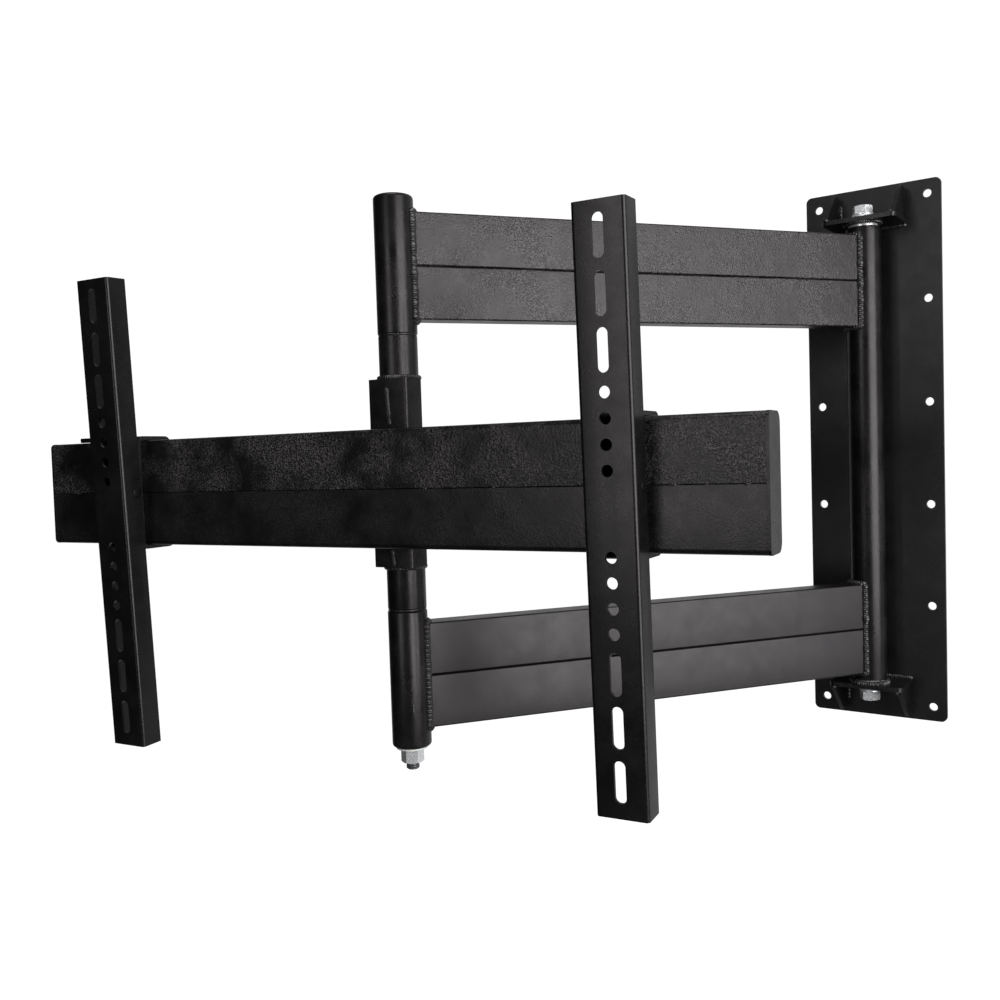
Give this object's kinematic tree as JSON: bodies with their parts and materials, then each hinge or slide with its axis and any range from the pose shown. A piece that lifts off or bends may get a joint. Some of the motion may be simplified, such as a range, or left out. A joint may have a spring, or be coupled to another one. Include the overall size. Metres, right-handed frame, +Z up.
{
  "type": "full motion tv wall mount",
  "caption": "Full motion wall mount with a tall wall plate, a twin swing arm, a swivelling crossbar and two sliding, tilting slotted rails that carry a flat screen.",
  "frame": {"origin": "centre of the wall plate's back face, which lies against the wall", "axes": "+Z up, +Y into the wall, the mount reaches out along -Y, +X to the right seen from the room"},
  "size_m": [0.752, 0.5752, 0.5724],
  "materials": {
    "black": "textured black powder coat",
    "zinc": "bright zinc plate",
    "nylon": "white nylon",
    "steel": "dark oiled steel"
  },
  "bodies": {
    "wall_frame": {"wall_plate": "black", "upper_ear": "black", "lower_ear": "black", "upper_gusset_left": "black", "upper_gusset_right": "black", "lower_gusset_left": "black", "lower_gusset_right": "black", "upper_pivot_washer": "zinc", "lower_pivot_washer": "zinc", "wall_pivot_nut": "zinc", "wall_pivot_bolt": "zinc"},
    "arm_assembly": {"wall_pivot_tube": "black", "wall_bush_upper": "zinc", "wall_bush_lower": "zinc", "upper_arm_top_tube": "black", "upper_arm_bottom_tube": "black", "lower_arm_top_tube": "black", "lower_arm_bottom_tube": "black", "upper_sleeve": "black", "sleeve_top_plate": "black", "lower_sleeve": "black", "lower_nylon_washer": "nylon", "outer_pivot_nut": "zinc", "outer_pivot_bolt": "steel", "upper_sleeve_bush": "nylon", "lower_sleeve_bush": "nylon"},
    "head": {"centre_tube": "black", "centre_bush_upper": "nylon", "centre_bush_lower": "nylon", "upper_thrust_washer": "nylon", "lower_thrust_washer": "nylon", "centre_bracket": "black", "crossbar_upper_tube": "black", "crossbar_lower_tube": "black", "crossbar_cap_left": "black", "crossbar_cap_right": "black", "left_stop_lug": "black"},
    "slider_left": {"saddle_left": "black", "tilt_pin_left": "steel"},
    "slider_right": {"saddle_right": "black", "tilt_pin_right": "steel"},
    "tilting_rail_left": {"rail_left": "black"},
    "tilting_rail_right": {"rail_right": "black"}
  },
  "joints": [
    {"name": "arm_swing", "type": "hinge", "parent": "wall_frame", "child": "arm_assembly", "pos_m": [0, -0.0383, 0], "axis": [0, 0, 1], "range_deg": [-54, 124]},
    {"name": "head_swivel", "type": "hinge", "parent": "arm_assembly", "child": "head", "pos_m": [-0.29317, -0.44863, 0], "axis": [0, 0, 1], "range_deg": [-130, 46]},
    {"name": "slide_left", "type": "slide", "parent": "head", "child": "slider_left", "axis": [0.9923, 0.1235, 0], "range_m": [-0.03, 0.235]},
    {"name": "slide_right", "type": "slide", "parent": "head", "child": "slider_right", "axis": [0.9923, 0.1235, 0], "range_m": [-0.185, 0.085]},
    {"name": "tilt_left", "type": "hinge", "parent": "slider_left", "child": "tilting_rail_left", "pos_m": [-0.56366, -0.5489, -0.0134], "axis": [0.9923, 0.1235, 0], "range_deg": [-8, 4]},
    {"name": "tilt_right", "type": "hinge", "parent": "slider_right", "child": "tilting_rail_right", "pos_m": [-0.05726, -0.48588, -0.0134], "axis": [0.9923, 0.1235, 0], "range_deg": [-8, 4]}
  ]
}
